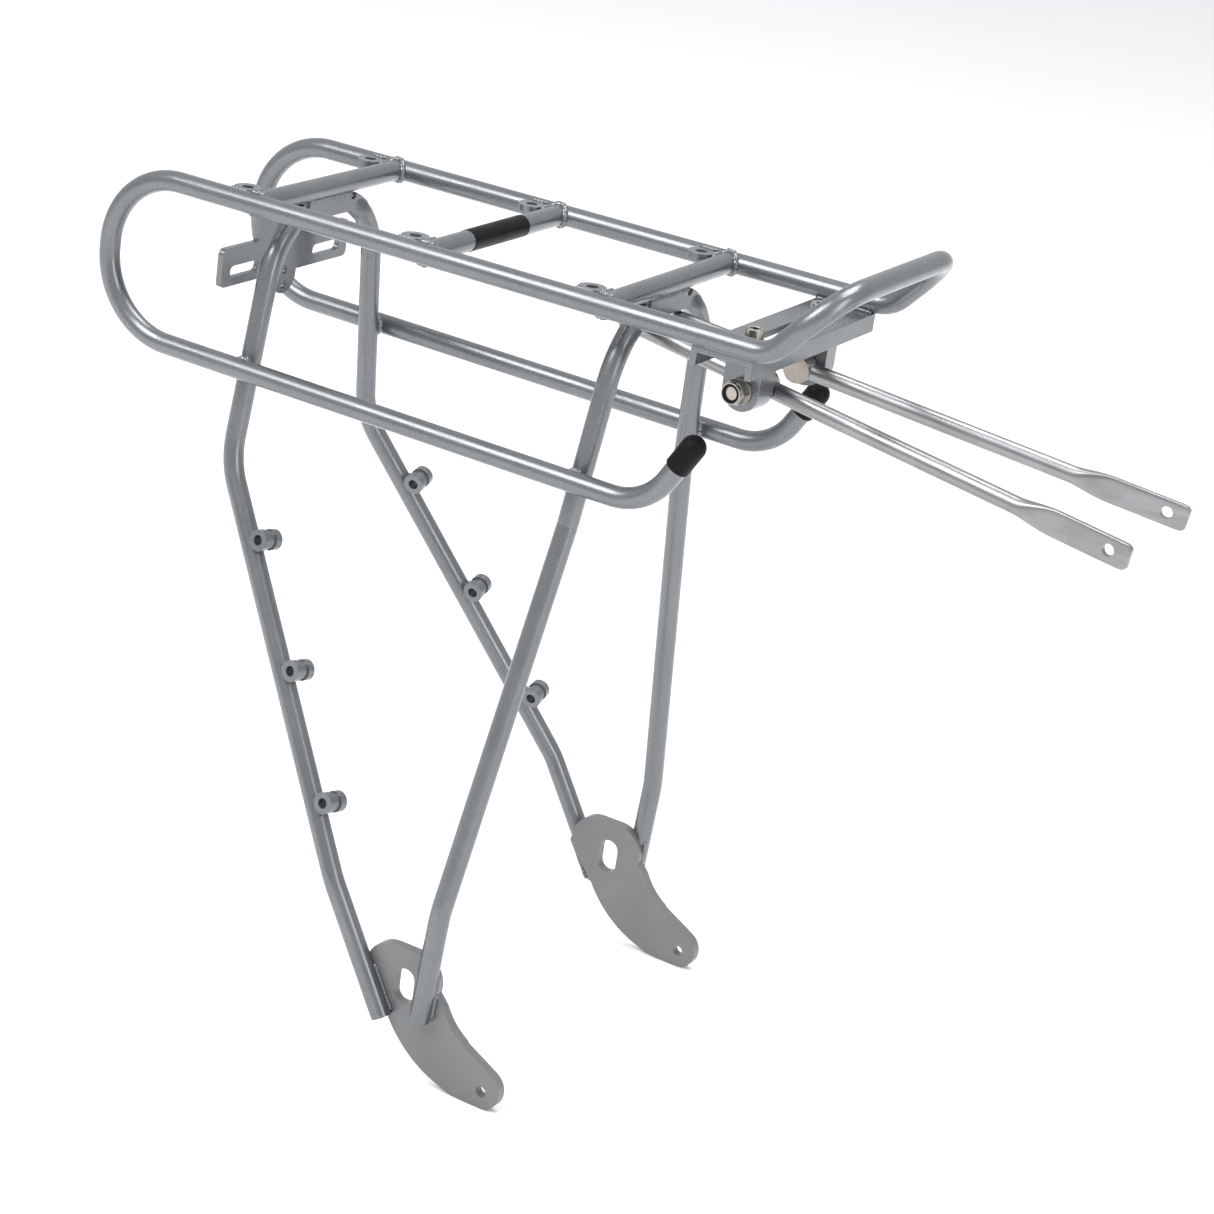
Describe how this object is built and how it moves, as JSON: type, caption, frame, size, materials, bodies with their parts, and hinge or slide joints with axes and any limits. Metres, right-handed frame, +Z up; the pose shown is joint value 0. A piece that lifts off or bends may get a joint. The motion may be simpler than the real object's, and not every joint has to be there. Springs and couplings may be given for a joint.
{
  "type": "bicycle rear rack",
  "caption": "Tubular bicycle rear rack with side loops for panniers, arched cross plates, splayed legs on dropout plates, a slotted light bracket and two adjustable stay rods.",
  "frame": {"origin": "midpoint between the holes of the two dropout plates, where the rack bolts to the bicycle frame", "axes": "+X forward, +Y to the left of the bicycle, +Z up"},
  "size_m": [0.5197, 0.2116, 0.4168],
  "materials": {
    "frame_paint": "satin silver-grey powder coat on steel tube and plate",
    "plate_paint": "satin silver-grey powder coat, a little flatter",
    "rod_aluminium": "polished",
    "screw_steel": "nickel-plated",
    "eyebolt_steel": "turned, slightly warm",
    "black_plastic": "satin black",
    "cap_rubber": "satin black",
    "band_film": "gloss black, plain"
  },
  "bodies": {
    "rack_frame": {"rail_tube": "frame_paint", "cross_tube_rear": "frame_paint", "cross_tube_middle": "frame_paint", "cross_tube_front": "frame_paint", "arch_plate_rear": "frame_paint", "arch_plate_front": "frame_paint", "leg_rear_right": "frame_paint", "leg_rear_left": "frame_paint", "leg_front_right": "frame_paint", "leg_front_left": "frame_paint", "dropout_right": "plate_paint", "dropout_left": "plate_paint", "cage_bosses_right": "frame_paint", "cage_bosses_left": "frame_paint", "deck_eyelets": "frame_paint", "light_bracket": "frame_paint", "stay_bar": "frame_paint", "end_cap_right": "cap_rubber", "end_cap_left": "cap_rubber", "label_band": "band_film"},
    "clamp_right": {"bracket_right": "frame_paint", "clamp_screw_right": "screw_steel", "clamp_washer_right": "screw_steel", "friction_disc_right": "black_plastic"},
    "swivel_right": {"eyebolt_right": "eyebolt_steel", "nut_washer_right": "screw_steel", "lock_nut_right": "screw_steel", "nut_insert_right": "black_plastic"},
    "rod_right": {"stay_rod_right": "rod_aluminium"},
    "clamp_left": {"bracket_left": "frame_paint", "clamp_screw_left": "screw_steel", "clamp_washer_left": "screw_steel", "friction_disc_left": "black_plastic"},
    "swivel_left": {"eyebolt_left": "eyebolt_steel", "nut_washer_left": "screw_steel", "lock_nut_left": "screw_steel", "nut_insert_left": "black_plastic"},
    "rod_left": {"stay_rod_left": "rod_aluminium"}
  },
  "joints": [
    {"name": "clamp_slide_right", "type": "slide", "parent": "rack_frame", "child": "clamp_right", "axis": [0, -1, 0], "range_m": [-0.005, 0.0025]},
    {"name": "stay_pivot_right", "type": "hinge", "parent": "clamp_right", "child": "swivel_right", "pos_m": [0.0469, -0.032, 0.3447], "axis": [-0.083, -0.9966, 0], "range_deg": [-0.5, 18]},
    {"name": "stay_slide_right", "type": "slide", "parent": "swivel_right", "child": "rod_right", "axis": [0.9897, -0.0824, -0.1167], "range_m": [-0.03, 0.05]},
    {"name": "clamp_slide_left", "type": "slide", "parent": "rack_frame", "child": "clamp_left", "axis": [0, 1, 0], "range_m": [-0.005, 0.0025]},
    {"name": "stay_pivot_left", "type": "hinge", "parent": "clamp_left", "child": "swivel_left", "pos_m": [0.0469, 0.032, 0.3447], "axis": [0.083, -0.9966, 0], "range_deg": [-0.5, 18]},
    {"name": "stay_slide_left", "type": "slide", "parent": "swivel_left", "child": "rod_left", "axis": [0.9897, 0.0824, -0.1167], "range_m": [-0.03, 0.05]}
  ]
}
